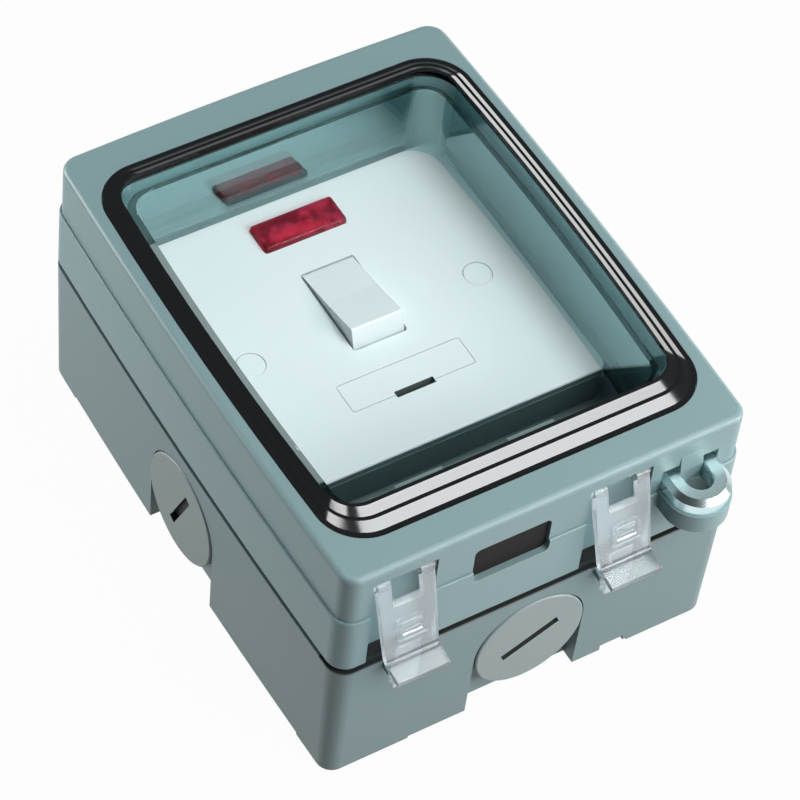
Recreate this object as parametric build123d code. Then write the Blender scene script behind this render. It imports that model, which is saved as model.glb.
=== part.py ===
"""Weatherproof fused spur unit: a hinged, latched enclosure round a switched fuse accessory.

Millimetres. X runs along the latch wall, Y from the latch wall to the hinge, Z out of the wall
that the unit is fixed to. The origin is the middle of the back face, on the plane of the feet.
"""
import math
import os

from build123d import *

# Enclosure outline, shared by the base, the seal and the lid
box_width = 105.2
box_length = 134.6
side_bow = 1.6
front_bow = 0.8
back_bow = 0.8
corner_radius = 5.5
front_corner_radius = 4.6
least_radius = 0.8
wall = 2.6
base_draft = 0.7

# Heights of the enclosure
foot_height = 0.7
floor_thickness = 2.8
base_height = 39.2
seal_thickness = 1.8
lid_height = 31.2
ledge_height = 16.5
tier_step = 0.6
ledge_round = 0.45
edge_round = 1.5

# Feet and drain notch under the base
foot_gap_x = 59.0
foot_gap_y = 108.0
drain_x = 25.2
drain_width = 6.4
drain_depth = 2.4

# Conduit entries and their blanking plugs
entry_drop = 18.4
entry_radius = 10.15
entry_boss_length = 4.0
recess_width = 29.0
recess_depth = 4.4
plug_gap = 0.35
plug_set_back = -0.15
plug_shank_gap = 0.15
plug_shank_length = 8.0
washer_thickness = 1.0
washer_width = 2.6
plug_slot_length = 15.4
plug_slot_width = 2.1
plug_slot_depth = 1.5
plug_slot_angles = {"front": 21.0, "back": -12.0, "left": -66.0}

# Wall fixing
fixing_pitch_x = 68.0
fixing_pitch_y = 100.0
fixing_hole_radius = 2.6
fixing_boss_radius = 6.0
fixing_boss_height = 2.5

# Lid seal
seal_set_back = 0.9
seal_width = 4.1

# Mounting frame and its screws
fit_gap = 0.25
deck_thickness = 2.5
post_radius = 4.2
post_inset = 7.2
frame_screw_radius = 1.6
frame_screw_head_radius = 3.0
frame_screw_length = 11.0
collar_wall = 1.4

# Window, its seal and its bezel
window_width = 98.0
window_length = 116.6
window_radius = 11.5
window_gap = 0.2
ledge_drop = 4.4
ledge_thickness = 2.2
ledge_reach = 2.4
window_seal_thickness = 1.2
flange_thickness = 2.0
flange_gap = 0.5
tub_foot_gap = 0.15
tub_inset = 4.6
tub_front_inset = 8.2
tub_draft = 3.2
tub_radius = 7.5
tub_wall = 1.7
pane_thickness = 2.5
pane_drop = 1.3
pane_gap = 0.15
ceiling_round = 2.4
bead_rise = 0.6
bezel_sides = [0.0, 0.97, 2.14, 2.86, 4.03, 4.15]
bezel_front = [0.0, 1.3, 4.17, 5.17, 7.64, 8.6]
tab_spacing = 28.4
tab_width = 11.8
tab_length = 0.95
tab_height = 0.9

# Lid hinge
hinge_out = 4.9
hinge_spacing = 56.0
knuckle_radius = 4.2
knuckle_width = 16.0
side_knuckle_width = 7.0
knuckle_gap = 0.4
hinge_pin_radius = 2.0
running_gap = 0.06
press_gap = 0.02

# Latches
latch_end_inset = 16.1
latch_from_staple = 18.55
latch_width = 14.0
latch_side_gap = 1.1
latch_thickness = 1.8
latch_pivot_in = 1.8
latch_pivot_rise = 25.0
latch_barrel_radius = 1.7
latch_peg_radius = 0.9
latch_peg_bite = 2.0
latch_peg_end_gap = 0.3
latch_arm_width = 3.2
latch_plate_rise = 19.5
latch_tip_width = 12.4
latch_top_gap = 0.6
latch_floor_gap = 0.5
pocket_backing = 2.0
latch_end_rise = 6.3
latch_lean = 5.5
lip_radius = 2.5
lip_turn = 64.0
lip_straight = 4.2
hook_drop = 5.6
hook_height = 1.7
hook_reach = 0.3
catch_drop = 3.3
catch_height = 2.3
catch_reach = 2.2
catch_width = 6.6
hook_width = 6.0
boss_width = 7.2
boss_height = 5.6
boss_rise = 0.9
boss_rim = 1.0
boss_drop = 11.8
boss_bar_height = 1.3
boss_bar_rise = 0.5

# Cable slot in the lid and its shutter
slot_width = 19.5
slot_height = 10.4
slot_rise = 18.5
slot_radius = 1.4
shutter_set_back = 1.4
shutter_flange = 0.8
shutter_flange_depth = 1.4
shutter_gap = 0.15

# Padlock lug and staple
staple_inset = 15.75
eye_out = 3.3
eye_radius = 3.05
staple_bar = 4.3
staple_height = 4.4
staple_chamfer = 1.3
staple_leg = 7.5
lug_rise = 11.4
lug_height = 5.6
lug_lip = 0.5
leg_slot_over = 1.6
tongue_rise = 25.6
tongue_gap = 0.1

# Accessory plate
plate_width = 86.0
plate_length = 80.0
plate_y = 11.0
plate_radius = 2.6
plate_rise = 10.2
plate_height = 4.0
plate_skin = 2.0
plate_skirt = 1.7
plate_round = 0.5
screw_pitch = 60.3
screw_y = 10.2
cap_radius = 3.45
cap_gap = 0.1
plate_boss_radius = 5.0
plate_boss_floor = 3.0
plate_screw_radius = 1.75
plate_screw_head_radius = 3.2
plate_screw_head_height = 2.0
plate_screw_length = 15.0
plate_screw_sink = 4.9
insert_radius = 2.7
insert_length = 8.0

# Rocker switch
rocker_y = 15.7
rocker_width = 13.4
rocker_length = 24.4
rocker_top_length = 23.0
rocker_tilt = 11.5
rocker_rise = 5.7
rocker_dish = 0.3
rocker_depth = 2.6
rocker_wall = 1.6
rocker_pivot_drop = 3.3
rocker_gap = 0.45
rocker_pin_radius = 1.0
nose_radius = 1.5
nose_depth = 6.0
carrier_pivot_drop = 13.6
carrier_tilt = 6.0
carrier_half_length = 8.0
carrier_thickness = 2.2
carrier_width = 10.0
contact_width = 3.0
contact_thickness = 0.8
contact_x = 3.2
fixed_contact_y = 7.0
fixed_contact_gap = 0.35
switch_floor_drop = 4.6

# Neon indicator
lens_set_back = 9.6
lens_width = 21.8
lens_length = 8.2
lens_proud = 1.5
lens_depth = 4.7
lens_wall = 1.1
lamp_radius = 2.2
lamp_length = 13.0

# Fuse carrier and fuse link
carrier_y = -8.1
carrier_face_width = 32.2
carrier_face_length = 8.0
carrier_face_thickness = 3.0
carrier_gap = 0.15
carrier_depth = 12.6
carrier_cheek = 1.5
pry_width = 10.2
pry_length = 1.8
pry_depth = 2.6
fuse_length = 25.4
fuse_cap_radius = 3.175
fuse_cap_length = 5.5
fuse_body_radius = 2.9
fuse_drop = 8.9
clip_x = 10.0
clip_width = 4.0
clip_thickness = 0.4
clip_gap = 0.13
clip_arm_over = 1.2

# Rear housing and terminals
housing_width = 49.6
housing_front_inset = 5.0
housing_back_inset = 3.8
housing_drop = 25.4
housing_radius = 2.0
well_gap = 0.6
terminal_size = 7.0
terminal_height = 8.5
terminal_wire_radius = 1.6
terminal_x = 19.5
terminal_front_inset = 5.6
terminal_back_inset = 9.2
terminal_gap = 0.15
terminal_screw_radius = 1.6
terminal_screw_length = 6.0
terminal_screw_bite = 3.6

# Derived places
front_y = -box_length / 2
back_y = box_length / 2
lid_bottom_z = base_height + seal_thickness
lid_top_z = lid_bottom_z + lid_height
ledge_z = lid_bottom_z + ledge_height
floor_z = foot_height + floor_thickness
entry_z = base_height - entry_drop
deck_bottom_z = base_height - deck_thickness
hinge_y = back_y + back_bow + hinge_out
hinge_z = (base_height + lid_bottom_z) / 2
shelf_z = lid_top_z - ledge_drop
shelf_bottom_z = shelf_z - ledge_thickness
flange_z = shelf_z + window_seal_thickness
bezel_z = flange_z + flange_thickness
bezel_top_z = lid_top_z + 2 * bead_rise
pane_top_z = bezel_top_z - pane_drop
staple_x = box_width / 2 - staple_inset
latch_xs = {
    "left": latch_end_inset - box_width / 2,
    "right": staple_x - latch_from_staple,
}
front_feature_x = (latch_xs["left"] + latch_xs["right"]) / 2
slot_z = lid_bottom_z + slot_rise
latch_pivot_y = front_y + latch_pivot_in
latch_pivot_z = lid_bottom_z + latch_pivot_rise
latch_plate_top_z = lid_bottom_z + latch_plate_rise
latch_bottom_z = lid_bottom_z + latch_end_rise
hook_z = base_height - hook_drop
catch_z = base_height - catch_drop
pocket_floor_y = latch_pivot_y + latch_barrel_radius + latch_floor_gap
pocket_top_z = latch_pivot_z + latch_barrel_radius + latch_top_gap
eye_y = front_y - eye_out
lug_bottom_z = lid_bottom_z + lug_rise
lug_top_z = lug_bottom_z + lug_height
tongue_top_z = lid_bottom_z + tongue_rise
plate_front_y = plate_y - plate_length / 2
plate_back_y = plate_y + plate_length / 2
plate_top_z = base_height + plate_rise
tub_bottom_z = plate_top_z + tub_foot_gap
plate_under_z = plate_top_z - plate_skin
plate_bottom_z = plate_top_z - plate_height
boss_bottom_z = plate_top_z - plate_screw_sink - plate_boss_floor
rocker_pivot_z = plate_top_z - rocker_pivot_drop
carrier_pivot_z = plate_top_z - carrier_pivot_drop
fuse_z = plate_top_z - fuse_drop
lens_y = plate_back_y - lens_set_back
housing_front = plate_front_y + housing_front_inset
housing_back = plate_back_y - housing_back_inset
housing_bottom_z = plate_top_z - housing_drop
housing_top_z = plate_under_z
terminal_front_y = housing_front + terminal_front_inset
terminal_back_y = housing_back - terminal_back_inset
overlap = 1.0


def bowed_outline(half_width, front, back, radius, front_radius, front_in=side_bow, hump=0.0):
    """A rounded rectangle whose long sides bow outward, and whose back may bow too."""
    x = half_width - side_bow
    front_x = half_width - front_in
    middle = (front + back) / 2
    edges = [
        Line((-front_x, front), (front_x, front)),
        ThreePointArc((front_x, front), (half_width, middle), (x, back)),
        ThreePointArc((-x, back), (-half_width, middle), (-front_x, front)),
    ]
    if hump:
        edges.append(ThreePointArc((x, back), (0, back + hump), (-x, back)))
    else:
        edges.append(Line((x, back), (-x, back)))
    face = make_face(edges)
    face = fillet(face.vertices().sort_by(Axis.Y)[-2:], radius)
    return fillet(face.vertices().sort_by(Axis.Y)[:2], front_radius)


def box_outline(inset):
    """The enclosure's outline, drawn in by the inset."""
    radius = max(corner_radius - inset, least_radius)
    front_radius = max(front_corner_radius - inset, least_radius)
    half_width = box_width / 2 - inset
    front = front_y + inset
    return bowed_outline(half_width, front, back_y - inset, radius, front_radius, front_bow, hump=back_bow)


def window_outline(inset, front_inset=None, radius=None):
    """The window opening's outline, drawn in by the inset, and by more along the front if asked."""
    if front_inset is None:
        front_inset = inset
    if radius is None:
        radius = max(window_radius - inset, least_radius)
    half_length = window_length / 2
    half_width = window_width / 2 - inset
    return bowed_outline(half_width, front_inset - half_length, half_length - inset, radius, radius)


def prism(face, z0, z1):
    """A flat face drawn straight up from z0 to z1."""
    return Pos(0, 0, z0) * extrude(face, amount=z1 - z0)


def block(x0, x1, y0, y1, z0, z1):
    """A box between two corners."""
    return Pos((x0 + x1) / 2, (y0 + y1) / 2, (z0 + z1) / 2) * Box(x1 - x0, y1 - y0, z1 - z0)


def upright(x, y, radius, z0, z1):
    """A round bar standing along Z."""
    return Pos(x, y, (z0 + z1) / 2) * Cylinder(radius, z1 - z0)


def along_x(x0, x1, y, z, radius):
    """A round bar lying along X."""
    return Pos((x0 + x1) / 2, y, z) * Rot(0, 90, 0) * Cylinder(radius, x1 - x0)


def along_y(y0, y1, x, z, radius):
    """A round bar lying along Y."""
    return Pos(x, (y0 + y1) / 2, z) * Rot(90, 0, 0) * Cylinder(radius, y1 - y0)


def plate_face(x, y, width, length, radius):
    """A rounded rectangle on the accessory, seen from above."""
    return Pos(x, y) * RectangleRounded(width, length, radius)


# Conduit entries: one arched recess in the middle of each wall

entry_walls = {
    "front": (0, -front_y),
    "right": (90, box_width / 2),
    "back": (180, back_y + back_bow),
    "left": (270, box_width / 2),
}


def on_wall(name, shape):
    """Moves a shape made for a wall at y = 0, with its outside towards -Y, to the named wall."""
    angle, distance = entry_walls[name]
    return Rot(0, 0, angle) * Pos(0, -distance, 0) * shape


def arch(radius, y0, y1):
    """A prism with a round top at the entry and straight sides down past the feet."""
    face = Pos(0, (entry_z - overlap) / 2) * Rectangle(2 * radius, entry_z + overlap)
    face += Pos(0, entry_z) * Circle(radius)
    return Pos(0, y0, 0) * extrude(Plane.XZ * face, amount=-(y1 - y0))


def base_box():
    """Back box with corner feet, conduit recesses, fixing holes, latch catches and hinge knuckles."""
    foot = box_outline(base_draft)
    rim = Pos(0, 0, base_height) * box_outline(0)
    body = loft([foot.face(), rim.face()], ruled=True)
    body -= prism(box_outline(wall), floor_z, base_height + overlap)
    backing_room = prism(box_outline(wall / 2), foot_height, deck_bottom_z - fit_gap)
    for name in entry_walls:
        backing = on_wall(name, arch(recess_width / 2 + wall, 0, recess_depth + wall))
        body += backing & backing_room
        boss_end = recess_depth + wall + entry_boss_length
        body += on_wall(name, along_y(recess_depth, boss_end, 0, entry_z, entry_radius + wall))
    for name in entry_walls:
        body -= on_wall(name, arch(recess_width / 2, -overlap, recess_depth))
        hole_end = recess_depth + wall + entry_boss_length + overlap
        body -= on_wall(name, along_y(0, hole_end, 0, entry_z, entry_radius))
    for x, y in post_places():
        body += upright(x, y, post_radius, foot_height, deck_bottom_z) & prism(
            box_outline(wall / 2), 0, base_height)
        body -= upright(x, y, frame_screw_radius, deck_bottom_z - frame_screw_length, deck_bottom_z + overlap)
    body -= feet_gaps()
    for x, y in fixing_places():
        body += upright(x, y, fixing_boss_radius, 0, floor_z + fixing_boss_height)
        body -= upright(x, y, fixing_hole_radius, -overlap, floor_z + fixing_boss_height + overlap)
    for x in latch_xs.values():
        body += catch(x)
    for x in (-hinge_spacing / 2, hinge_spacing / 2):
        body += knuckle(x - knuckle_width / 2, x + knuckle_width / 2, below=True)
        body -= along_x(x - knuckle_width, x + knuckle_width, hinge_y, hinge_z, hinge_pin_radius + press_gap)
    return body


def post_places():
    """Corner posts that the mounting frame is screwed to."""
    x = box_width / 2 - side_bow - post_inset
    y = back_y - post_inset
    return [(-x, -y), (x, -y), (x, y), (-x, y)]


def fixing_places():
    """Holes for the wall screws."""
    x = fixing_pitch_x / 2
    y = fixing_pitch_y / 2
    return [(-x, -y), (x, -y), (x, y), (-x, y)]


def feet_gaps():
    """What is cut from the underside to leave four corner feet, and the drain notch."""
    cut = block(-foot_gap_x / 2, foot_gap_x / 2, front_y - overlap, back_y + back_bow + overlap,
                -overlap, foot_height)
    half = box_width / 2 + overlap
    cut += block(-half, half, -foot_gap_y / 2, foot_gap_y / 2, -overlap, foot_height)
    cut += block(drain_x - drain_width / 2, drain_x + drain_width / 2, front_y - overlap, front_y + wall,
                 -overlap, drain_depth)
    return cut


def catch(x):
    """The rib under the seam that a latch hooks behind."""
    z0 = catch_z
    z1 = catch_z + catch_height
    side = make_face(Polyline((front_y + wall / 2, z0), (front_y - catch_reach, z0),
                              (front_y - catch_reach, z0 + catch_height / 2), (front_y, z1),
                              (front_y + wall / 2, z1), close=True))
    return Pos(x - catch_width / 2, 0, 0) * extrude(Plane.YZ * side, amount=catch_width)


def knuckle(x0, x1, below):
    """A hinge knuckle with the web that joins it to the back wall."""
    part = along_x(x0, x1, hinge_y, hinge_z, knuckle_radius)
    inner_y = back_y - wall / 2
    if below:
        z_edge = base_height
        z_far = hinge_z - 2.4 * knuckle_radius
        z_web = hinge_z - knuckle_radius
    else:
        z_edge = lid_bottom_z
        z_far = hinge_z + 2.4 * knuckle_radius
        z_web = hinge_z + knuckle_radius
    web = make_face(Polyline((inner_y, z_edge), (hinge_y, z_edge), (hinge_y, z_web), (inner_y, z_far),
                             close=True))
    return part + Pos(x0, 0, 0) * extrude(Plane.YZ * web, amount=x1 - x0)


def hinge_pins():
    """Two rods, pressed in the base knuckles, that the lid turns on."""
    reach = knuckle_width / 2 + knuckle_gap + side_knuckle_width
    return [
        along_x(x - reach, x + reach, hinge_y, hinge_z, hinge_pin_radius)
        for x in (-hinge_spacing / 2, hinge_spacing / 2)
    ]


def blanking_plug(name):
    """Screw-in plug with a round head, just proud of the wall, and a screwdriver slot."""
    head_radius = recess_width / 2 - plug_gap
    head_end = recess_depth - washer_thickness
    plug = along_y(plug_set_back, head_end, 0, entry_z, head_radius)
    plug = chamfer(plug.edges().group_by(Axis.Y)[0], 0.3)
    plug += along_y(head_end, head_end + plug_shank_length, 0, entry_z, entry_radius - plug_shank_gap)
    slot = Box(plug_slot_length, plug_slot_depth, plug_slot_width)
    slot = Pos(0, plug_set_back + plug_slot_depth / 2, entry_z) * Rot(0, plug_slot_angles[name], 0) * slot
    return on_wall(name, plug - slot)


def plug_washers():
    """Flat rubber washers between the plug heads and the recess floors."""
    rings = []
    for name in plug_slot_angles:
        outer_radius = entry_radius + washer_width
        outer = along_y(recess_depth - washer_thickness, recess_depth, 0, entry_z, outer_radius)
        inner = along_y(0, recess_depth + overlap, 0, entry_z, entry_radius)
        rings.append(on_wall(name, outer - inner))
    return rings


def lid_seal():
    """Black seal on the base's rim, set back from the outside."""
    ring = box_outline(seal_set_back) - box_outline(seal_set_back + seal_width)
    return prism(ring, base_height, lid_bottom_z)


# Lid and what it carries


def lid_frame():
    """Two-step lid with the window opening, latch pockets, cable slot, padlock lug and knuckles."""
    lower = prism(box_outline(0), lid_bottom_z, ledge_z)
    lower = fillet(lower.edges().group_by(Axis.Z)[-1], ledge_round)
    upper = prism(box_outline(tier_step), ledge_z, lid_top_z)
    upper = fillet(upper.edges().group_by(Axis.Z)[-1], edge_round)
    body = lower + upper
    body -= prism(box_outline(wall), lid_bottom_z - overlap, shelf_bottom_z)
    body -= prism(window_outline(ledge_reach), shelf_bottom_z - overlap, shelf_z + overlap)
    body -= prism(window_outline(0), shelf_z, lid_top_z + overlap)
    for x in latch_xs.values():
        half = latch_width / 2 + latch_side_gap
        body += block(x - half - wall, x + half + wall, front_y + tier_step + wall / 2,
                      pocket_floor_y + pocket_backing, lid_bottom_z, shelf_bottom_z)
        body -= block(x - half, x + half, front_y - overlap, pocket_floor_y,
                      lid_bottom_z - overlap, pocket_top_z)
        peg_half = half + latch_peg_bite
        peg_hole = latch_peg_radius + running_gap
        body -= along_x(x - peg_half, x + peg_half, latch_pivot_y, latch_pivot_z, peg_hole)
    body += padlock_lug() + padlock_tongue()
    body -= padlock_cuts()
    body -= slot_prism(0, front_y - overlap, front_y + wall + overlap)
    for x in (-hinge_spacing / 2, hinge_spacing / 2):
        start = knuckle_width / 2 + knuckle_gap
        end = start + side_knuckle_width
        body += knuckle(x - end, x - start, below=False)
        body += knuckle(x + start, x + end, below=False)
        pin_hole = hinge_pin_radius + running_gap
        body -= along_x(x - end - overlap, x + end + overlap, hinge_y, hinge_z, pin_hole)
    return body


def eye_face(outer_radius, inner_radius, leg):
    """A round eye with straight legs running back into the lid wall, seen from above."""
    face = Pos(staple_x, eye_y) * Circle(outer_radius)
    face += Pos(staple_x, eye_y + leg / 2) * Rectangle(2 * outer_radius, leg)
    face -= Pos(staple_x, eye_y) * Circle(inner_radius)
    face -= Pos(staple_x, eye_y + leg / 2) * Rectangle(2 * inner_radius, leg)
    return face


def padlock_lug():
    """Moulded shelf under the staple."""
    reach = eye_out + tier_step + wall / 2
    outer = eye_radius + staple_bar + lug_lip
    face = Pos(staple_x, eye_y) * Circle(outer)
    face += Pos(staple_x, eye_y + reach / 2) * Rectangle(2 * outer, reach)
    lug = prism(face, lug_bottom_z, lug_top_z)
    return fillet(lug.edges().group_by(Axis.Z)[0], lug_lip)


def padlock_tongue():
    """The lid wall's swelling between the staple's legs, close behind the eye."""
    foot_y = eye_y + eye_radius + tongue_gap
    top_y = front_y + tier_step
    inner_y = top_y + wall / 2
    shoulder_z = lug_top_z + staple_height
    side = make_face(Polyline((inner_y, lug_bottom_z), (foot_y, lug_bottom_z), (foot_y, shoulder_z),
                              (top_y, tongue_top_z), (inner_y, tongue_top_z), close=True))
    half = eye_radius - tongue_gap
    return Pos(staple_x - half, 0, 0) * extrude(Plane.YZ * side, amount=2 * half)


def padlock_cuts():
    """The eye through the lug and the two slots that the staple's legs go in."""
    cut = upright(staple_x, eye_y, eye_radius, lug_bottom_z - overlap, lug_top_z + overlap)
    for side in (-1, 1):
        x = staple_x + side * (eye_radius + staple_bar / 2)
        half = staple_bar / 2 + press_gap
        cut += block(x - half, x + half, eye_y, eye_y + staple_leg, lug_top_z,
                     lug_top_z + staple_height + leg_slot_over)
    return cut


def padlock_staple():
    """Bright steel eye with two legs let into the lid wall."""
    face = eye_face(eye_radius + staple_bar, eye_radius, staple_leg)
    bar = prism(face, lug_top_z, lug_top_z + staple_height)
    rims = bar.edges().filter_by(GeomType.CIRCLE).group_by(Axis.Z)[-1]
    outer = rims.sort_by(SortBy.RADIUS)[-1]
    bar = chamfer(outer, staple_chamfer)
    rims = bar.edges().filter_by(GeomType.CIRCLE).group_by(Axis.Z)[-1]
    return fillet(rims.sort_by(SortBy.RADIUS)[0], staple_chamfer / 2)


def slot_prism(grow, y0, y1):
    """The cable slot's rounded outline in the lid's front wall, grown by a margin."""
    face = RectangleRounded(slot_width + 2 * grow, slot_height + 2 * grow, slot_radius)
    return Pos(front_feature_x, y0, slot_z) * extrude(Plane.XZ * face, amount=-(y1 - y0))


def cable_shutter():
    """Black insert that closes the cable slot from inside."""
    inner_face = front_y + wall
    plug = slot_prism(-shutter_gap, front_y + shutter_set_back, inner_face)
    return plug + slot_prism(shutter_flange, inner_face, inner_face + shutter_flange_depth)


def window_seal():
    """Flat seal between the window's flange and the lid's shelf."""
    ring = window_outline(flange_gap) - window_outline(ledge_reach)
    return prism(ring, shelf_z, flange_z)


def tub_outline(grow, draft):
    """The tub's outline, grown outwards by a wall, and drawn in by the draft towards its foot."""
    return window_outline(tub_inset - grow + draft, tub_front_inset - grow + draft, tub_radius + grow)


def tub_taper(grow, z_top):
    """The tub's tapering body from its foot to a height, grown outwards by a wall."""
    foot = Pos(0, 0, tub_bottom_z) * tub_outline(grow, tub_draft)
    head = Pos(0, 0, z_top) * tub_outline(grow, 0)
    return loft([foot.face(), head.face()], ruled=True)


def window():
    """Smoked tub: flange, pane and four tapering walls that reach down to the accessory plate."""
    body = prism(window_outline(flange_gap), flange_z, bezel_z)
    body += prism(tub_outline(tub_wall, 0), flange_z, pane_top_z)
    body += tub_taper(tub_wall, flange_z)
    room = tub_taper(0, pane_top_z - pane_thickness)
    body -= fillet(room.edges().group_by(Axis.Z)[-1], ceiling_round)
    tab_y = bezel_front[-1] + window_gap + pane_gap - window_length / 2
    for side in (-1, 1):
        x = front_feature_x + side * tab_spacing / 2
        body += block(x - tab_width / 2, x + tab_width / 2, tab_y, tab_y + tab_length,
                      pane_top_z - pane_thickness / 2, pane_top_z + tab_height)
    return body


def bezel_level(step):
    """One contour of the bezel, counted from its outer edge inwards."""
    return window_outline(bezel_sides[step] + window_gap, bezel_front[step] + window_gap)


def bezel_slope(step, z):
    """A bead's sloping flank between two contours."""
    low = Pos(0, 0, z) * bezel_level(step)
    high = Pos(0, 0, z + bead_rise) * bezel_level(step + 1)
    return loft([low.face(), high.face()], ruled=True)


def window_bezel():
    """Glossy black ring with two stepped beads, wider along the front."""
    body = prism(bezel_level(0), bezel_z, lid_top_z)
    body += bezel_slope(1, lid_top_z)
    body += bezel_slope(3, lid_top_z + bead_rise)
    body -= prism(bezel_level(5), bezel_z - overlap, bezel_top_z + overlap)
    return body - prism(tub_outline(tub_wall + pane_gap, 0), bezel_z - overlap, pane_top_z + pane_gap)


def latch_point(drop):
    """A point on the latch's middle line, at a drop below its pivot."""
    share = drop / (latch_pivot_z - latch_bottom_z)
    top_y = latch_pivot_y - latch_barrel_radius + latch_thickness / 2
    return top_y - latch_lean * share, latch_pivot_z - drop


def latch(x):
    """Clear latch: two arms on pegs, a leaning plate, a hook behind it and a curled lip to pull."""
    end = latch_point(latch_pivot_z - latch_bottom_z)
    blade = Line(latch_point(0), end)
    lip = JernArc(end, tangent=blade % 1, radius=lip_radius, arc_size=-lip_turn)
    tip = Line(lip @ 1, lip @ 1 + (lip % 1) * lip_straight)
    band = trace([blade, lip, tip], latch_thickness)
    band += Pos(latch_pivot_y, latch_pivot_z) * Circle(latch_barrel_radius)
    body = Pos(x - latch_width / 2, 0, 0) * extrude(Plane.YZ * band, amount=latch_width)
    body &= latch_taper(x)
    gap = latch_width / 2 - latch_arm_width
    top = latch_pivot_z + latch_barrel_radius + overlap
    body -= block(x - gap, x + gap, front_y - box_length / 2, 0, latch_plate_top_z, top)
    body += latch_hook(x, end)
    body += latch_boss(x)
    reach = latch_width / 2 + latch_side_gap + latch_peg_bite - latch_peg_end_gap
    for side in (-1, 1):
        x0, x1 = sorted((x + side * (latch_width / 2 - overlap), x + side * reach))
        body += along_x(x0, x1, latch_pivot_y, latch_pivot_z, latch_peg_radius)
    return body


def latch_taper(x):
    """What the latch's sides keep to: full width at the pivot, narrower at the lip."""
    top = latch_pivot_z + latch_barrel_radius + overlap
    half_top = latch_width / 2
    half_low = latch_tip_width / 2
    face = make_face(Polyline((x - half_top, top), (x - half_top, latch_plate_top_z), (x - half_low, catch_z),
                              (x + half_low, catch_z), (x + half_top, latch_plate_top_z), (x + half_top, top),
                              close=True))
    return extrude(Plane.XZ * face, amount=box_length)


def latch_hook(x, end):
    """The leg behind the lip, with the nib at the base's catch."""
    inner = front_y - catch_reach - latch_floor_gap
    outer = inner - latch_thickness
    nib = inner + hook_reach
    nib_z = hook_z + hook_height
    leg = make_face(Polyline((end[0], end[1] + 2 * latch_thickness), (outer, end[1]), (outer, hook_z),
                             (nib, hook_z), (nib, nib_z), (inner, nib_z), (inner, end[1]), close=True))
    return Pos(x - hook_width / 2, 0, 0) * extrude(Plane.YZ * leg, amount=hook_width)


def latch_boss(x):
    """Small raised frame on the latch's face, with a bar across it."""
    y, z = latch_point(boss_drop)
    lean = math.degrees(math.atan2(latch_lean, latch_pivot_z - latch_bottom_z))
    depth = latch_thickness / 2 + boss_rise
    frame = Box(boss_width, depth, boss_height)
    frame -= Box(boss_width - 2 * boss_rim, depth, boss_height - 2 * boss_rim)
    bar_depth = latch_thickness / 2 + boss_bar_rise
    frame += Pos(0, (depth - bar_depth) / 2, 0) * Box(boss_width - boss_rim, bar_depth, boss_bar_height)
    return Pos(x, y, z) * Rot(-lean, 0, 0) * Pos(0, -depth / 2, 0) * frame


# Mounting frame and accessory


def screw_places():
    """The two plate screws."""
    return [(-screw_pitch / 2, screw_y), (screw_pitch / 2, screw_y)]


def collar_size():
    """Outer width and length of the collar that the plate's skirt goes over."""
    margin = 2 * (plate_skirt + fit_gap)
    return plate_width - margin, plate_length - margin


def mounting_frame():
    """Dark deck that closes the base round the accessory, with a collar and two screw lugs."""
    width, length = collar_size()
    body = prism(box_outline(wall + fit_gap), deck_bottom_z, base_height)
    collar = plate_face(0, plate_y, width, length, plate_radius - plate_skirt)
    body += prism(collar, deck_bottom_z, plate_under_z)
    hole = plate_face(0, plate_y, width - 2 * collar_wall, length - 2 * collar_wall, least_radius)
    body -= prism(hole, deck_bottom_z - overlap, plate_under_z + overlap)
    for x, y in screw_places():
        side = math.copysign(1, x)
        lug = upright(x, y, plate_boss_radius, boss_bottom_z - insert_length - 1, boss_bottom_z)
        edge = side * (width / 2 - collar_wall / 2)
        lug += block(min(x, edge), max(x, edge), y - plate_boss_radius, y + plate_boss_radius,
                     boss_bottom_z - insert_length - 1, boss_bottom_z)
        body += lug
        body -= upright(x, y, plate_screw_radius + fit_gap, 0, boss_bottom_z)
        body -= upright(x, y, insert_radius + press_gap, boss_bottom_z - insert_length,
                        boss_bottom_z + overlap)
    for x, y in post_places():
        body -= upright(x, y, frame_screw_radius + fit_gap, deck_bottom_z - overlap, base_height + overlap)
        body -= countersink(x, y, frame_screw_head_radius + fit_gap)
    return body


def countersink(x, y, radius):
    """A cone under a countersunk head, flush with the deck."""
    depth = radius - frame_screw_radius
    return Pos(x, y, base_height - depth / 2) * Cone(frame_screw_radius, radius, depth)


def frame_screws():
    """Countersunk screws that hold the mounting frame to the corner posts."""
    screws = []
    for x, y in post_places():
        screw = upright(x, y, frame_screw_radius - press_gap, base_height - frame_screw_length, base_height)
        screws.append(screw + countersink(x, y, frame_screw_head_radius))
    return screws


def brass_inserts():
    """Threaded inserts in the frame's lugs."""
    return [
        upright(x, y, insert_radius, boss_bottom_z - insert_length, boss_bottom_z)
        - upright(x, y, plate_screw_radius + press_gap, boss_bottom_z - insert_length - overlap,
                  boss_bottom_z + overlap)
        for x, y in screw_places()
    ]


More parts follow.
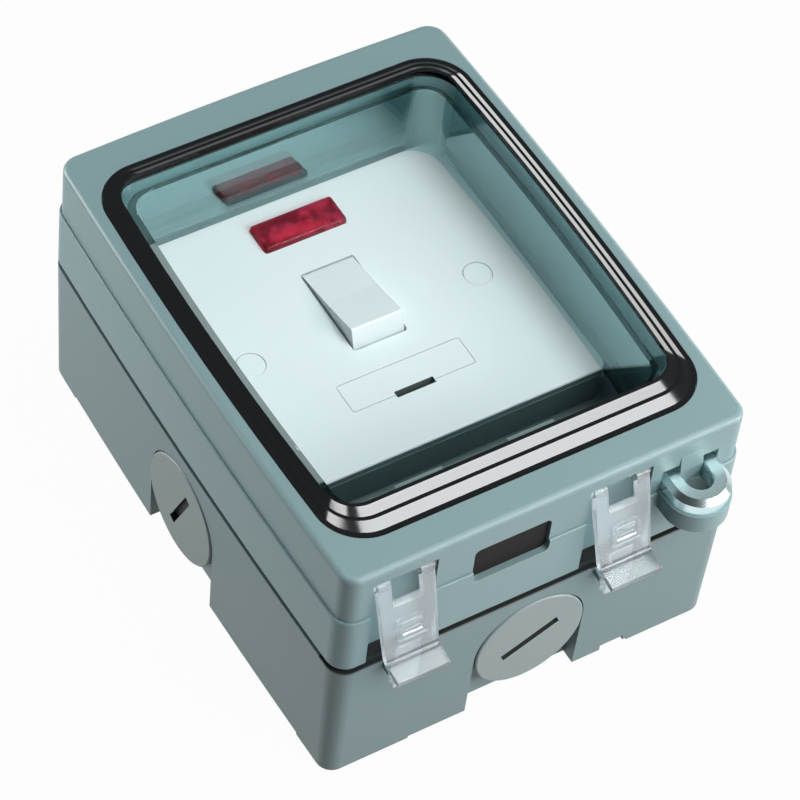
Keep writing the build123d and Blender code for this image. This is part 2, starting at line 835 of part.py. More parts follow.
def accessory_plate():
    """White front plate with openings for the rocker, lens and fuse carrier, and two screw wells."""
    body = prism(plate_face(0, plate_y, plate_width, plate_length, plate_radius), plate_bottom_z, plate_top_z)
    body = fillet(body.edges().group_by(Axis.Z)[-1], plate_round)
    inner = plate_face(0, plate_y, plate_width - 2 * plate_skirt, plate_length - 2 * plate_skirt,
                       plate_radius - plate_skirt)
    body -= prism(inner, plate_bottom_z - overlap, plate_under_z)
    for x, y in screw_places():
        body += upright(x, y, plate_boss_radius, boss_bottom_z, plate_under_z + overlap / 2)
        body -= upright(x, y, cap_radius + cap_gap, plate_top_z - plate_screw_sink, plate_top_z + overlap)
        body -= upright(x, y, plate_screw_radius + fit_gap, boss_bottom_z - overlap, plate_top_z)
    through = (plate_under_z - overlap, plate_top_z + overlap)
    body -= prism(plate_face(0, rocker_y, rocker_width + 2 * rocker_gap, rocker_length + 2 * rocker_gap,
                             least_radius), *through)
    lens_hole = plate_face(0, lens_y, lens_width + 2 * cap_gap, lens_length + 2 * cap_gap, least_radius)
    body -= prism(lens_hole, *through)
    body -= prism(plate_face(0, carrier_y, carrier_face_width + 2 * carrier_gap,
                             carrier_face_length + 2 * carrier_gap, least_radius), *through)
    return body - pry_notch()


def pry_notch():
    """The screwdriver notch across the front edge of the fuse carrier."""
    y = carrier_y - carrier_face_length / 2
    return block(-pry_width / 2, pry_width / 2, y - pry_length / 2, y + pry_length / 2,
                 plate_top_z - pry_depth, plate_top_z + overlap)


def screw_caps():
    """Round white caps over the plate screws."""
    caps = []
    for x, y in screw_places():
        low = plate_top_z - plate_screw_sink + plate_screw_head_height
        cap = upright(x, y, cap_radius, low, plate_top_z)
        cap -= upright(x, y, cap_radius - 1.0, low - overlap, plate_top_z - 1.0)
        caps.append(chamfer(cap.edges().group_by(Axis.Z)[-1], 0.2))
    return caps


def plate_screws():
    """Slotted screws that hold the accessory to the frame."""
    screws = []
    for x, y in screw_places():
        seat = plate_top_z - plate_screw_sink
        screw = upright(x, y, plate_screw_head_radius, seat, seat + plate_screw_head_height)
        screw += upright(x, y, plate_screw_radius, seat - plate_screw_length, seat + overlap)
        slot = Pos(x, y, seat + plate_screw_head_height) * Box(2.2 * plate_screw_head_radius, 1.0, 1.6)
        screws.append(screw - slot)
    return screws


def rear_housing():
    """Moulding behind the plate with wells for the switch, lamp and fuse and pockets for the terminals."""
    width = housing_width
    length = housing_back - housing_front
    face = plate_face(0, (housing_front + housing_back) / 2, width, length, housing_radius)
    body = prism(face, housing_bottom_z, housing_top_z)
    top = housing_top_z + overlap
    half = rocker_width / 2 + well_gap
    run = rocker_length / 2 + well_gap
    body -= block(-half, half, rocker_y - run, rocker_y + run, carrier_pivot_z - switch_floor_drop, top)
    for z in (rocker_pivot_z, carrier_pivot_z):
        body -= along_x(-half - 2, half + 2, rocker_y, z, rocker_pin_radius + press_gap)
    body -= block(-lens_width / 2 - cap_gap, lens_width / 2 + cap_gap, lens_y - lens_length / 2 - cap_gap,
                  lens_y + lens_length / 2 + cap_gap, plate_top_z - lens_depth, top)
    body -= block(-carrier_face_width / 2 - carrier_gap, carrier_face_width / 2 + carrier_gap,
                  carrier_y - carrier_face_length / 2 - carrier_gap,
                  carrier_y + carrier_face_length / 2 + carrier_gap,
                  fuse_floor_z(), top)
    for x, y in terminal_places():
        grow = terminal_size / 2 + terminal_gap
        body -= block(x - grow, x + grow, y - grow, y + grow, housing_bottom_z - overlap,
                      housing_bottom_z + terminal_height)
        outside = y - length if y < 0 else y + length
        body -= along_y(min(y, outside), max(y, outside), x, terminal_wire_z(), terminal_wire_radius)
    return body


def fuse_floor_z():
    """Floor of the fuse well, just below the carrier's cheeks."""
    return plate_top_z - carrier_depth - clip_thickness - carrier_gap


def terminal_places():
    """Line and load terminals at the four corners, and the earth terminal in the middle of the front."""
    return [
        (-terminal_x, terminal_front_y),
        (terminal_x, terminal_front_y),
        (-terminal_x, terminal_back_y),
        (terminal_x, terminal_back_y),
        (0, terminal_front_y),
    ]


def terminal_wire_z():
    """Height of the wire holes."""
    return housing_bottom_z + 0.72 * terminal_height


def terminals():
    """Brass blocks, each with a wire hole and a screw hole."""
    blocks = []
    for x, y in terminal_places():
        half = terminal_size / 2
        body = block(x - half, x + half, y - half, y + half, housing_bottom_z,
                     housing_bottom_z + terminal_height)
        body -= along_y(y - terminal_size, y + terminal_size, x, terminal_wire_z(), terminal_wire_radius)
        body -= upright(x, y, terminal_screw_radius + press_gap, housing_bottom_z - overlap,
                        terminal_wire_z())
        blocks.append(body)
    return blocks


def terminal_screws():
    """Slotted grub screws, driven from the back."""
    screws = []
    for x, y in terminal_places():
        high = housing_bottom_z + terminal_screw_bite
        low = high - terminal_screw_length
        screw = upright(x, y, terminal_screw_radius, low, high)
        screws.append(screw - Pos(x, y, low) * Box(4 * terminal_screw_radius, 0.8, 1.6))
    return screws


# Switch mechanism


def tilted(shape, z, angle):
    """Turns a shape made about the origin by an angle about X and sets it on the switch's middle."""
    return Pos(0, rocker_y, z) * Rot(angle, 0, 0) * shape


def rocker():
    """White rocker with a slightly dished face and a nose that drives the contact carrier."""
    half = rocker_length / 2
    top = rocker_top_length / 2
    side = make_face(Polyline((-half, -rocker_depth), (half, -rocker_depth), (top, rocker_rise),
                              (0, rocker_rise - rocker_dish), (-top, rocker_rise), close=True))
    body = Pos(-rocker_width / 2, 0, 0) * extrude(Plane.YZ * side, amount=rocker_width)
    ends = body.edges().filter_by(Axis.X).group_by(Axis.Z)[-1]
    body = fillet(ends, 0.6)
    inner_x = rocker_width / 2 - rocker_wall
    inner_y = top - rocker_wall
    ceiling = rocker_rise - rocker_dish - rocker_wall
    body -= block(-inner_x, inner_x, -inner_y, inner_y, -rocker_depth - overlap, ceiling)
    stem_y = rocker_pin_radius + rocker_wall
    stem = block(-inner_x - rocker_wall / 2, inner_x + rocker_wall / 2, -stem_y, stem_y, -rocker_depth,
                 ceiling + rocker_wall / 2)
    stem += block(-nose_radius, nose_radius, -nose_radius, nose_radius, nose_radius - nose_depth, 0)
    stem += along_x(-nose_radius, nose_radius, 0, nose_radius - nose_depth, nose_radius)
    body += stem
    body -= along_x(-rocker_width, rocker_width, 0, 0, rocker_pin_radius + running_gap)
    return tilted(body, rocker_pivot_z, -rocker_tilt)


def rocker_pin():
    """Pin that the rocker turns on, held in the housing."""
    half = rocker_width / 2 + well_gap + 2
    return along_x(-half, half, rocker_y, rocker_pivot_z, rocker_pin_radius)


def contact_carrier():
    """See-saw under the rocker's nose."""
    bar = block(-carrier_width / 2, carrier_width / 2, -carrier_half_length, carrier_half_length,
                -carrier_thickness / 2, carrier_thickness / 2)
    bar += along_x(-carrier_width / 2, carrier_width / 2, 0, 0, carrier_thickness)
    bar -= along_x(-carrier_width, carrier_width, 0, 0, rocker_pin_radius + running_gap)
    return tilted(bar, carrier_pivot_z, carrier_tilt)


def contact_pin():
    """Pin that the contact carrier turns on, held in the housing."""
    half = rocker_width / 2 + well_gap + 2
    return along_x(-half, half, rocker_y, carrier_pivot_z, rocker_pin_radius)


def moving_contacts():
    """Two strips under the carrier's back arm."""
    strips = []
    for x in (-contact_x, contact_x):
        strip = block(x - contact_width / 2, x + contact_width / 2, carrier_thickness, carrier_half_length,
                      -carrier_thickness / 2 - contact_thickness, -carrier_thickness / 2)
        strips.append(tilted(strip, carrier_pivot_z, carrier_tilt))
    return strips


def fixed_contacts():
    """Two contact pads on the floor of the switch well, under the moving contacts."""
    closed = math.radians(carrier_tilt)
    arm = carrier_thickness / 2 + contact_thickness
    lowest = carrier_half_length * math.sin(closed) + arm * math.cos(closed)
    floor = carrier_pivot_z - switch_floor_drop
    top = carrier_pivot_z - lowest - fixed_contact_gap
    y = rocker_y + fixed_contact_y
    half = contact_width / 2
    return [block(x - half, x + half, y - half, y + half, floor, top) for x in (-contact_x, contact_x)]


# Neon indicator


def neon_lens():
    """Red lens with a hollow for the lamp."""
    low = plate_top_z - lens_depth
    body = prism(plate_face(0, lens_y, lens_width, lens_length, least_radius), low, plate_top_z + lens_proud)
    body = fillet(body.edges().group_by(Axis.Z)[-1], 0.7)
    hollow = plate_face(0, lens_y, lens_width - 2 * lens_wall, lens_length - 2 * lens_wall, 0.4)
    return body - prism(hollow, low - overlap, plate_top_z + lens_proud - lens_wall)


def neon_lamp():
    """Small glass lamp lying in the lens."""
    half = lamp_length / 2
    lamp = along_x(-half, half, lens_y, plate_top_z - lens_depth + lamp_radius, lamp_radius)
    return chamfer(lamp.edges().filter_by(GeomType.CIRCLE), 0.4 * lamp_radius)


# Fuse


def fuse_carrier():
    """Draw-out carrier: a face flush with the plate and two cheeks that hold the fuse link's ends."""
    run = carrier_face_length / 2
    face = plate_face(0, carrier_y, carrier_face_width, carrier_face_length, least_radius - carrier_gap)
    body = prism(face, plate_top_z - carrier_face_thickness, plate_top_z)
    inner = fuse_length / 2 + press_gap
    for side in (-1, 1):
        x0, x1 = sorted((side * inner, side * (inner + carrier_cheek)))
        body += block(x0, x1, carrier_y - run, carrier_y + run, plate_top_z - carrier_depth,
                      plate_top_z - overlap)
    return body - pry_notch()


def fuse_body():
    """Ceramic tube of the fuse link."""
    half = fuse_length / 2 - fuse_cap_length
    return along_x(-half, half, carrier_y, fuse_z, fuse_body_radius)


def fuse_caps():
    """End caps of the fuse link."""
    half = fuse_length / 2
    return [
        along_x(-half, fuse_cap_length - half, carrier_y, fuse_z, fuse_cap_radius),
        along_x(half - fuse_cap_length, half, carrier_y, fuse_z, fuse_cap_radius),
    ]


def fuse_clips():
    """Two spring clips that grip the fuse link's caps."""
    clips = []
    inside = fuse_cap_radius + clip_gap
    floor = fuse_floor_z()
    for x in (-clip_x, clip_x):
        outer = block(x - clip_width / 2, x + clip_width / 2, carrier_y - inside - clip_thickness,
                      carrier_y + inside + clip_thickness, floor, fuse_z + clip_arm_over)
        inner = block(x - clip_width, x + clip_width, carrier_y - inside, carrier_y + inside,
                      floor + clip_thickness, fuse_z + clip_arm_over + overlap)
        clips.append(outer - inner)
    return clips


def pieces():
    """Every node by name: one solid, or a list of like solids."""
    nodes = {
        "base_box": base_box(),
        "lid_seal": lid_seal(),
        "hinge_pins": hinge_pins(),
        "plug_washers": plug_washers(),
        "mounting_frame": mounting_frame(),
        "frame_screws": frame_screws(),
        "brass_inserts": brass_inserts(),
        "accessory_plate": accessory_plate(),
        "screw_caps": screw_caps(),
        "plate_screws": plate_screws(),
        "rear_housing": rear_housing(),
        "terminals": terminals(),
        "terminal_screws": terminal_screws(),
        "rocker_pin": rocker_pin(),
        "contact_pin": contact_pin(),
        "fixed_contacts": fixed_contacts(),
        "neon_lens": neon_lens(),
        "neon_lamp": neon_lamp(),
        "fuse_clips": fuse_clips(),
        "lid_frame": lid_frame(),
        "window": window(),
        "window_seal": window_seal(),
        "window_bezel": window_bezel(),
        "cable_shutter": cable_shutter(),
        "padlock_staple": padlock_staple(),
        "rocker": rocker(),
        "contact_carrier": contact_carrier(),
        "moving_contacts": moving_contacts(),
        "fuse_carrier": fuse_carrier(),
        "fuse_body": fuse_body(),
        "fuse_caps": fuse_caps(),
    }
    for name in plug_slot_angles:
        nodes["blanking_plug_" + name] = blanking_plug(name)
    for side, x in latch_xs.items():
        nodes["latch_" + side] = latch(x)
    return nodes


def main():
    os.makedirs("parts", exist_ok=True)
    for name, shape in pieces().items():
        if isinstance(shape, list):
            shape = Compound(children=shape)
        export_step(shape, os.path.join("parts", name + ".step"))


main()
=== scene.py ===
"""Looks of the weatherproof fused spur unit: finishes, light and camera round its CAD model.

Lengths are in metres, in the part's own frame. Colours are linear red, green and blue.
"""

import math

import bpy
from mathutils import Matrix, Vector


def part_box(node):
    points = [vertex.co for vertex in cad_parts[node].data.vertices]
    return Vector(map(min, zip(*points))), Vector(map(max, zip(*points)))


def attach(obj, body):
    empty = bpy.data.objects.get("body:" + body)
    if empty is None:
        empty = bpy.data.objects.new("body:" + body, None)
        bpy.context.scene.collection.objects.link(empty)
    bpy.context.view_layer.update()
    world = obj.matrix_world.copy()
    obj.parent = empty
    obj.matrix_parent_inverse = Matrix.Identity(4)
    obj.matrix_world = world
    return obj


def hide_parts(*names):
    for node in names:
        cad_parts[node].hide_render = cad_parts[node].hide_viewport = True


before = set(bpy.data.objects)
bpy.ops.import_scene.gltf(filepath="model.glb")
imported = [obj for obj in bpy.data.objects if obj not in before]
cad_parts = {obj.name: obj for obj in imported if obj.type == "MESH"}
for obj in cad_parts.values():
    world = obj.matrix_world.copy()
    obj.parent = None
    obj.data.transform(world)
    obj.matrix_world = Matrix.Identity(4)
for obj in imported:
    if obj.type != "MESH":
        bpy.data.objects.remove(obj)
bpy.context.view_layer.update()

# The photograph's camera: its place, the directions of its picture and its lens, with the sensor in mm
camera_place = Vector((-0.3346, -0.4578, 0.7413))
camera_right = Vector((0.8576, -0.5077, 0.0827))
camera_up = Vector((0.3551, 0.7006, 0.6189))
camera_back = Vector((-0.3722, -0.5014, 0.7811))
camera_near = 0.01
sensor_width = 36.0
focal_pixels = 3930.4
frame_pixels = 800

# Light: name, where it stands, its width and height, its power and its colour
light_target = Vector((0.0, 0.0, 0.045))
softboxes = [
    ("ceiling", (-0.05, -0.05, 1.10), 0.80, 0.80, 0.3, (1.0, 1.0, 1.0)),
    ("high_front", (0.30, -0.54, 0.40), 0.35, 0.25, 1.8, (1.0, 0.95, 0.94)),
    ("front_top", (0.14, -0.42, 0.64), 0.30, 0.25, 2.5, (1.0, 1.0, 1.0)),
    ("near_front", (0.20, -0.34, 0.24), 0.24, 0.14, 0.6, (1.0, 0.92, 0.91)),
    ("low_right", (0.50, -0.42, 0.13), 0.20, 0.14, 2.4, (1.0, 0.93, 0.93)),
    ("low_left", (-0.30, 0.34, 0.13), 0.20, 0.14, 1.75, (1.0, 1.0, 1.0)),
    ("right_back", (0.90, 0.53, 0.20), 0.35, 0.25, 1.6, (1.0, 1.0, 1.0)),
    ("high_back", (0.10, 0.70, 0.55), 0.40, 0.30, 0.3, (1.0, 1.0, 1.0)),
    ("overhead", (0.31, 0.04, 0.95), 0.14, 0.42, 3.1, (0.96, 1.0, 1.0)),
    ("corner_glint", (-0.15, 0.15, 0.95), 0.08, 0.30, 1.2, (1.0, 1.0, 1.0)),
]
room_colour = (1.0, 1.0, 1.0)
room_strength = 0.04

# The floor: its size, how far it lies under the feet, its own grey, and the share of plain white
# that the camera and reflections see in its place
floor_half = 3.0
floor_drop = 0.0002
floor_grey = (0.25, 0.25, 0.25)
floor_roughness = 0.9
floor_glow = 1.0
floor_white_share = 0.97

# Moulded grain: the clouds in its colour and gloss, the fine grain in its surface, and how strongly
# that grain shows on moulded and on smooth finishes
noise_middle = 0.5
cloud_scale = 60.0
cloud_detail = 3.0
grain_scale = 2600.0
grain_detail = 1.0
moulded_depth = 0.00002
moulded_strength = 0.25
smooth_depth = 0.000002
smooth_strength = 0.05
metal_mottle = 0.15

# Clear plastics bend light less than real ones, so that thick walls don't turn black
window_ior = 1.05
rim_ior = 1.0
latch_ior = 1.35
lens_ior = 1.2
tub_shadow = (0.80, 0.88, 0.88)
latch_shadow = (0.80, 0.85, 0.87)
wall_mirror = 0.30

# Faces of the window are told apart by height and by slope, which is 1 on a level face and 0 on an
# upright one. The tabs lie above pane_top. The tub lies below tub_rim_top and is less level than
# flat_slope. In it, the rounded rim lies above tub_rim_foot and is more level than rim_slope, and
# the rounded corners are more level than corner_slope
pane_top = 0.0722
tub_rim_top = 0.0698
tub_rim_foot = 0.06665
flat_slope = 0.998
rim_slope = 0.54
corner_slope = 0.19

# The curled lip of a latch lies in front of this plane; it gets a darker copy of the latch's finish as
# painted shade
latch_lip_front = -0.0724

# Cells in the neon's lens: their size, and where on the noise they are darkest and lightest
cell_scale = 260.0
cell_detail = 1.0
cell_dark = 0.42
cell_light = 0.58

# The accessory plate: the drop from its top to the painted shade on its rim, that shade's depth, how
# far the front edge is set back, and how much of the plate's length moves with it
painted_shade_drop = 0.0005
painted_shade_depth = 0.0003
rim_reach = Vector((painted_shade_depth, painted_shade_depth, painted_shade_depth))
plate_trim = 0.0022
plate_end = 0.0035

# The slot in front of the fuse carrier, as a box, whose inside gets painted shade
slot_low = (-0.00520, -0.01310, 0.04670)
slot_high = (0.00520, -0.01110, 0.04920)

# The slot in a blanking plug's head, whose inside gets painted shade: half of the square that it lies
# in, and how far below the head its inside starts and ends
plug_slot_reach = 0.0086
plug_slot_start = 0.00005
plug_slot_end = 0.00156

# How far the front plug is screwed round from its place in the CAD model, to the photograph's angle
front_plug_turn = math.radians(-46.0)

# The painted shadow line under the lid lies above this height and in front of this plane of the base
painted_shadow_foot = 0.0386
painted_shadow_front = -0.0600

# A mix node has sockets for each kind of value: these are its two colours and the colour it gives
mix_first = 6
mix_second = 7
mix_result = 2


def new_material(name):
    """A material with its node tree and Principled shader."""
    material = bpy.data.materials.new(name)
    material.use_nodes = True
    return material, material.node_tree, principled(material)


def principled(material):
    """A material's Principled shader."""
    return material.node_tree.nodes["Principled BSDF"]


def compute(tree, operation, *given):
    """A math node on sockets and plain numbers. Returns its result."""
    node = tree.nodes.new("ShaderNodeMath")
    node.operation = operation
    for entry, value in zip(node.inputs, given):
        if isinstance(value, bpy.types.NodeSocket):
            tree.links.new(value, entry)
        else:
            entry.default_value = value
    return node.outputs["Value"]


def noise(tree, scale, detail):
    """Noise that is fixed to the object. Returns its value."""
    place = tree.nodes.new("ShaderNodeTexCoord")
    texture = tree.nodes.new("ShaderNodeTexNoise")
    texture.inputs["Scale"].default_value = scale
    texture.inputs["Detail"].default_value = detail
    tree.links.new(place.outputs["Object"], texture.inputs["Vector"])
    return texture.outputs["Fac"]


def blend(tree, share, first, second):
    """Shows a surface as one shader, and by a share from 0 to 1 as another."""
    mix = tree.nodes.new("ShaderNodeMixShader")
    tree.links.new(share, mix.inputs["Fac"])
    tree.links.new(first.outputs[0], mix.inputs[1])
    tree.links.new(second.outputs[0], mix.inputs[2])
    tree.links.new(mix.outputs["Shader"], tree.nodes["Material Output"].inputs["Surface"])


def grain_group():
    """Fine moulded grain: a slightly uneven colour and roughness, and a height for a bump."""
    group = bpy.data.node_groups.new("moulded_grain", "ShaderNodeTree")
    sockets = group.interface
    sockets.new_socket("Color", in_out="INPUT", socket_type="NodeSocketColor")
    sockets.new_socket("Roughness", in_out="INPUT", socket_type="NodeSocketFloat")
    sockets.new_socket("Mottle", in_out="INPUT", socket_type="NodeSocketFloat")
    sockets.new_socket("Color", in_out="OUTPUT", socket_type="NodeSocketColor")
    sockets.new_socket("Roughness", in_out="OUTPUT", socket_type="NodeSocketFloat")
    sockets.new_socket("Height", in_out="OUTPUT", socket_type="NodeSocketFloat")
    given = group.nodes.new("NodeGroupInput").outputs
    result = group.nodes.new("NodeGroupOutput").inputs
    clouds = compute(group, "SUBTRACT", noise(group, cloud_scale, cloud_detail), noise_middle)
    shade = compute(group, "MULTIPLY_ADD", clouds, given["Mottle"], 1.0)
    tint = group.nodes.new("ShaderNodeVectorMath")
    tint.operation = "SCALE"
    group.links.new(given["Color"], tint.inputs[0])
    group.links.new(shade, tint.inputs["Scale"])
    group.links.new(tint.outputs["Vector"], result["Color"])
    rough = compute(group, "MULTIPLY", given["Roughness"], shade)
    group.links.new(rough, result["Roughness"])
    group.links.new(noise(group, grain_scale, grain_detail), result["Height"])
    return group


def moulded(name, colour, roughness, grain, mottle=0.05, shine=0.5,
            depth=moulded_depth, strength=moulded_strength):
    """A moulded plastic or rubber with fine grain."""
    material, tree, shader = new_material(name)
    surface = tree.nodes.new("ShaderNodeGroup")
    surface.node_tree = grain
    surface.inputs["Color"].default_value = (*colour, 1.0)
    surface.inputs["Roughness"].default_value = roughness
    surface.inputs["Mottle"].default_value = mottle
    bump = tree.nodes.new("ShaderNodeBump")
    bump.inputs["Distance"].default_value = depth
    bump.inputs["Strength"].default_value = strength
    shader.inputs["Specular IOR Level"].default_value = shine
    tree.links.new(surface.outputs["Color"], shader.inputs["Base Color"])
    tree.links.new(surface.outputs["Roughness"], shader.inputs["Roughness"])
    tree.links.new(surface.outputs["Height"], bump.inputs["Height"])
    tree.links.new(bump.outputs["Normal"], shader.inputs["Normal"])
    return material


def smooth(name, colour, roughness, grain, mottle=0.06):
    """A smooth finish, slightly uneven in colour and gloss."""
    return moulded(name, colour, roughness, grain, mottle,
                   depth=smooth_depth, strength=smooth_strength)


def metal(name, colour, roughness, grain):
    """A bare or plated metal."""
    material = smooth(name, colour, roughness, grain, metal_mottle)
    principled(material).inputs["Metallic"].default_value = 1.0
    return material


def clear(name, colour, shadow, roughness, ior=1.49, weight=1.0):
    """A clear moulding that lets light through to what is behind it."""
    material, tree, shader = new_material(name)
    shader.inputs["Base Color"].default_value = (*colour, 1.0)
    shader.inputs["Roughness"].default_value = roughness
    shader.inputs["IOR"].default_value = ior
    shader.inputs["Transmission Weight"].default_value = weight
    path = tree.nodes.new("ShaderNodeLightPath").outputs
    open_way = tree.nodes.new("ShaderNodeBsdfTransparent")
    open_way.inputs["Color"].default_value = (*shadow, 1.0)
    unseen = compute(tree, "MAXIMUM", path["Is Shadow Ray"], path["Is Diffuse Ray"])
    blend(tree, unseen, shader, open_way)
    return material


def smoked_wall(name, roughness):
    """The window tub's walls, seen from inside: part mirror, part smoked and clear."""
    material = clear(name, (0.60, 0.81, 0.82), tub_shadow, roughness, window_ior)
    principled(material).inputs["Metallic"].default_value = wall_mirror
    return material


def red_lens(name):
    """The neon's lens: red, with the darker cells inside it showing through."""
    material = clear(name, (0.68, 0.04, 0.10), (0.6, 0.1, 0.1), 0.15, lens_ior, 0.75)
    tree = material.node_tree
    shade = tree.nodes.new("ShaderNodeValToRGB")
    dark, light = shade.color_ramp.elements
    dark.position = cell_dark
    dark.color = (0.42, 0.038, 0.080, 1.0)
    light.position = cell_light
    light.color = (0.96, 0.105, 0.22, 1.0)
    tree.links.new(noise(tree, cell_scale, cell_detail), shade.inputs["Fac"])
    tree.links.new(shade.outputs["Color"], principled(material).inputs["Base Color"])
    return material


def grey_with_painted_shadow(name, grain):
    """The base's grey, with a painted shadow line under the lid along the top of its front wall."""
    material = moulded(name, (0.130, 0.198, 0.206), 0.45, grain)
    tree = material.node_tree
    place = tree.nodes.new("ShaderNodeTexCoord")
    axes = tree.nodes.new("ShaderNodeSeparateXYZ")
    tree.links.new(place.outputs["Object"], axes.inputs["Vector"])
    high = compute(tree, "GREATER_THAN", axes.outputs["Z"], painted_shadow_foot)
    front = compute(tree, "LESS_THAN", axes.outputs["Y"], painted_shadow_front)
    shade = tree.nodes.new("ShaderNodeMix")
    shade.data_type = "RGBA"
    # Painted shadow: near-black colour for the strip under the lid, where both masks hold
    shade.inputs[mix_second].default_value = (0.012, 0.016, 0.016, 1.0)
    colour = principled(material).inputs["Base Color"]
    grey = colour.links[0].from_socket
    tree.links.new(compute(tree, "MULTIPLY", high, front), shade.inputs["Factor"])
    tree.links.new(grey, shade.inputs[mix_first])
    tree.links.new(shade.outputs[mix_result], colour)
    return material


def dress(material, *names):
    """Gives a finish to CAD nodes."""
    for name in names:
        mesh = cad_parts[name].data
        for index in range(len(mesh.materials)):
            mesh.materials[index] = material


def add_finish(mesh, material):
    """One more finish on a mesh. Returns its slot."""
    mesh.materials.append(material)
    return len(mesh.materials) - 1


def dress_faces(name, material, low, high):
    """Gives a finish to the faces of a node whose middles lie in a box."""
    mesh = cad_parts[name].data
    slot = add_finish(mesh, material)
    for face in mesh.polygons:
        if all(low[axis] < face.center[axis] < high[axis] for axis in range(3)):
            face.material_index = slot


def dress_window():
    """The window's clear pane, its tub's mirror-like walls and rim, and the two frosted tabs."""
    pane = clear("smoked_window", (0.95, 0.985, 0.985), (0.955, 0.985, 0.985), 0.0, window_ior)
    dress(pane, "window")
    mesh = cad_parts["window"].data
    frosted = clear("frosted_tab", (0.17, 0.26, 0.25), (0.7, 0.8, 0.8), 0.35, weight=0.35)
    tab = add_finish(mesh, frosted)
    rim = add_finish(mesh, clear("smoked_rim", (0.10, 0.125, 0.12), tub_shadow, 0.10, rim_ior))
    wall = add_finish(mesh, smoked_wall("smoked_tub_wall", 0.03))
    corner = add_finish(mesh, smoked_wall("smoked_tub_corner", 0.30))
    for face in mesh.polygons:
        heights = [mesh.vertices[index].co.z for index in face.vertices]
        slope = abs(face.normal.z)
        if face.center.z > pane_top:
            face.material_index = tab
        elif max(heights) < tub_rim_top and slope < flat_slope:
            if min(heights) > tub_rim_foot and slope > rim_slope:
                face.material_index = rim
            elif slope > corner_slope:
                face.material_index = corner
            else:
                face.material_index = wall


def dress_latches():
    """The clear latches, with a clearer curled lip darkened by painted shade."""
    body = clear("clear_latch", (0.82, 0.90, 0.93), latch_shadow, 0.22, latch_ior, 0.82)
    # Painted shade: the lip is a darker copy of the latch's clear finish
    painted_shade_lip = clear("clear_latch_lip_painted_shade", (0.38, 0.42, 0.44), latch_shadow, 0.18, latch_ior, 0.95)
    for name in ("latch_left", "latch_right"):
        dress(body, name)
        low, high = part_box(name)
        dress_faces(name, painted_shade_lip, low - rim_reach, (high.x, latch_lip_front, high.z))


def dress_plugs(grain):
    """The blanking plugs, with painted shade inside their screwdriver slots."""
    head = moulded("grey_plug", (0.205, 0.258, 0.262), 0.50, grain)
    # Painted shade: near-black inside the grey plug's slot
    painted_slot_shade = smooth("painted_shade_plug_slot", (0.035, 0.042, 0.042), 0.6, grain)
    reach = Vector((plug_slot_reach, plug_slot_reach, plug_slot_reach))
    for wall, axis, outward in (("front", 1, -1), ("back", 1, 1), ("left", 0, -1)):
        name = "blanking_plug_" + wall
        dress(head, name)
        low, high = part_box(name)
        middle = (low + high) / 2
        near = middle - reach
        far = middle + reach
        if outward < 0:
            near[axis] = low[axis] + plug_slot_start
            far[axis] = low[axis] + plug_slot_end
        else:
            near[axis] = high[axis] - plug_slot_end
            far[axis] = high[axis] - plug_slot_start
        dress_faces(name, painted_slot_shade, near, far)


def dress_plate_edge(grain):
    """Painted shade on the rim round the accessory plate, and painted shade inside the fuse carrier's
    slot.
    """
    # Painted shade: dark grey on the white plate's edges, which lie in shade
    rim = smooth("painted_shade_plate_rim", (0.11, 0.17, 0.18), 0.6, grain)
    low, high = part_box("accessory_plate")
    top = high.z - painted_shade_drop
    front = low - rim_reach, (high.x, low.y + painted_shade_depth, top)
    left = low - rim_reach, (low.x + painted_shade_depth, high.y, top)
    right = (high.x - painted_shade_depth, low.y, low.z), (high.x + painted_shade_depth, high.y, top)
    back = (low.x, high.y - painted_shade_depth, low.z), (high.x, high.y + painted_shade_depth, top)
    for near, far in (front, left, right, back):
        dress_faces("accessory_plate", rim, near, far)
    # Painted shade: dark grey inside the slot of the white plate and fuse carrier
    painted_slot_shade = smooth("painted_shade_fuse_slot", (0.10, 0.12, 0.12), 0.6, grain)
    for name in ("accessory_plate", "fuse_carrier"):
        dress_faces(name, painted_slot_shade, slot_low, slot_high)


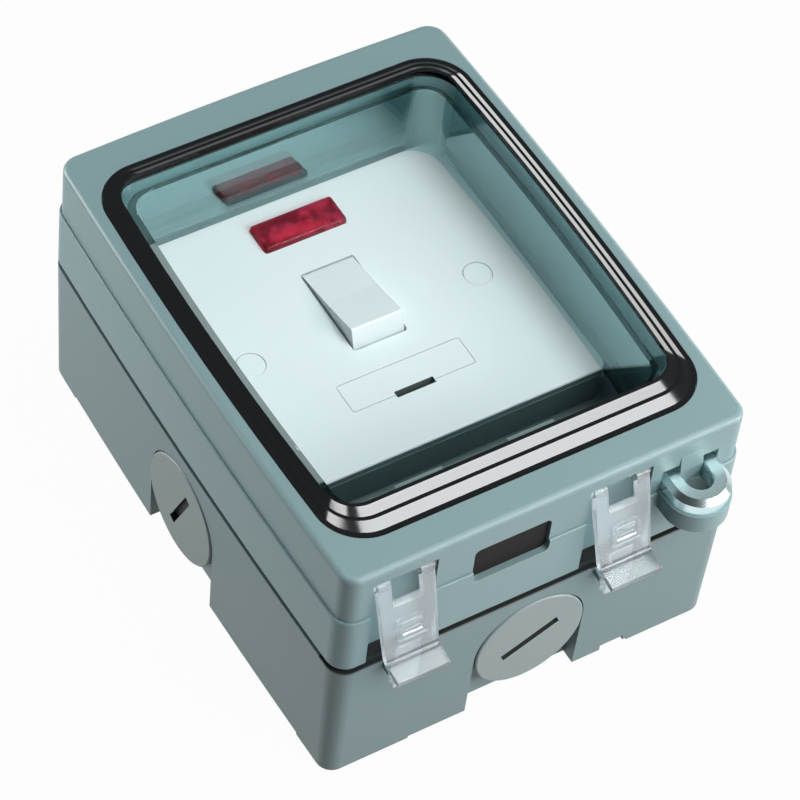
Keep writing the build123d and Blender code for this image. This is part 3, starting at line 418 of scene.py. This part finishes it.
def dress_unit():
    """Every CAD node's finish."""
    grain = grain_group()
    dress(moulded("grey_lid", (0.163, 0.255, 0.266), 0.42, grain), "lid_frame")
    dress(grey_with_painted_shadow("grey_base_painted_shadow", grain), "base_box")
    dress_plugs(grain)
    dress(moulded("black_seal", (0.006, 0.006, 0.006), 0.8, grain),
          "lid_seal", "window_seal", "plug_washers")
    dress(moulded("black_shutter", (0.005, 0.004, 0.004), 0.7, grain, shine=0.25), "cable_shutter")
    dress(smooth("black_bezel", (0.010, 0.011, 0.012), 0.10, grain), "window_bezel")
    dress_window()
    dress_latches()
    dress(metal("plated_steel", (0.66, 0.84, 0.86), 0.27, grain), "padlock_staple")
    dress(metal("steel", (0.55, 0.56, 0.57), 0.35, grain),
          "hinge_pins", "frame_screws", "plate_screws", "rocker_pin", "contact_pin")
    dress(moulded("inner_frame", (0.085, 0.128, 0.134), 0.5, grain), "mounting_frame")
    dress(moulded("white_plate", (0.74, 0.79, 0.805), 0.50, grain, mottle=0.01, shine=0.15),
          "accessory_plate", "screw_caps", "fuse_carrier")
    dress(moulded("white_rocker", (0.76, 0.81, 0.825), 0.35, grain, mottle=0.01, shine=0.3),
          "rocker")
    dress_plate_edge(grain)
    dress(moulded("white_housing", (0.80, 0.80, 0.77), 0.5, grain, mottle=0.02),
          "rear_housing", "contact_carrier")
    dress(red_lens("red_lens"), "neon_lens")
    dress(clear("lamp_glass", (0.95, 0.9, 0.85), (0.9, 0.9, 0.9), 0.0), "neon_lamp")
    dress(metal("brass", (0.72, 0.53, 0.22), 0.3, grain),
          "brass_inserts", "terminals", "terminal_screws", "fixed_contacts", "moving_contacts",
          "fuse_clips", "fuse_caps")
    dress(moulded("fuse_ceramic", (0.75, 0.72, 0.64), 0.6, grain), "fuse_body")


def turn_front_plug():
    """The front plug, screwed round in its thread so that its slot lies as in the photograph."""
    name = "blanking_plug_front"
    low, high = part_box(name)
    middle = (low + high) / 2
    turn = Matrix.Rotation(front_plug_turn, 4, "Y")
    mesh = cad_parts[name].data.copy()
    mesh.transform(Matrix.Translation(middle) @ turn @ Matrix.Translation(-middle))
    plug = bpy.data.objects.new("turned_plug_front", mesh)
    bpy.context.collection.objects.link(plug)
    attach(plug, "base")
    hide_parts(name)


def trim_plate():
    """The accessory plate, its front edge set back to leave the photograph's dark strip."""
    name = "accessory_plate"
    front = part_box(name)[0].y
    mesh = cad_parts[name].data.copy()
    for point in mesh.vertices:
        if point.co.y < front + plate_end:
            point.co.y += plate_trim
    plate = bpy.data.objects.new("trimmed_plate", mesh)
    bpy.context.collection.objects.link(plate)
    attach(plate, "base")
    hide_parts(name)


def add_floor():
    """Plain floor: white to the camera and in reflections, with the unit's soft shadow on it."""
    bpy.ops.mesh.primitive_plane_add(size=2 * floor_half, location=(0, 0, -floor_drop))
    floor = bpy.context.object
    floor.name = "floor"
    material, tree, shader = new_material("white_floor")
    shader.inputs["Base Color"].default_value = (*floor_grey, 1.0)
    shader.inputs["Roughness"].default_value = floor_roughness
    path = tree.nodes.new("ShaderNodeLightPath").outputs
    white = tree.nodes.new("ShaderNodeEmission")
    white.inputs["Strength"].default_value = floor_glow
    seen = compute(tree, "MAXIMUM", path["Is Camera Ray"], path["Is Transmission Ray"])
    mirrored = compute(tree, "MAXIMUM", seen, path["Is Glossy Ray"])
    blend(tree, compute(tree, "MULTIPLY", mirrored, floor_white_share), shader, white)
    floor.data.materials.append(material)


def add_light():
    """Softboxes round the unit and an even room light."""
    for name, place, width, height, power, colour in softboxes:
        lamp = bpy.data.lights.new(name, "AREA")
        lamp.shape = "RECTANGLE"
        lamp.size = width
        lamp.size_y = height
        lamp.energy = power
        lamp.color = colour
        holder = bpy.data.objects.new(name, lamp)
        holder.location = place
        aim = light_target - Vector(place)
        holder.rotation_euler = aim.to_track_quat("-Z", "Y").to_euler()
        bpy.context.collection.objects.link(holder)
    world = bpy.data.worlds.new("room")
    bpy.context.scene.world = world
    world.use_nodes = True
    room = world.node_tree.nodes["Background"].inputs
    room["Color"].default_value = (*room_colour, 1.0)
    room["Strength"].default_value = room_strength


def add_camera():
    """The photograph's view."""
    lens = bpy.data.cameras.new("view")
    lens.sensor_width = sensor_width
    lens.lens = focal_pixels / frame_pixels * sensor_width
    lens.clip_start = camera_near
    holder = bpy.data.objects.new("view", lens)
    turn = Matrix((camera_right, camera_up, camera_back)).transposed().to_4x4()
    holder.matrix_world = Matrix.Translation(camera_place) @ turn
    bpy.context.collection.objects.link(holder)
    bpy.context.scene.camera = holder


dress_unit()
turn_front_plug()
trim_plate()
add_floor()
add_light()
add_camera()
bpy.context.scene.view_settings.view_transform = "Standard"
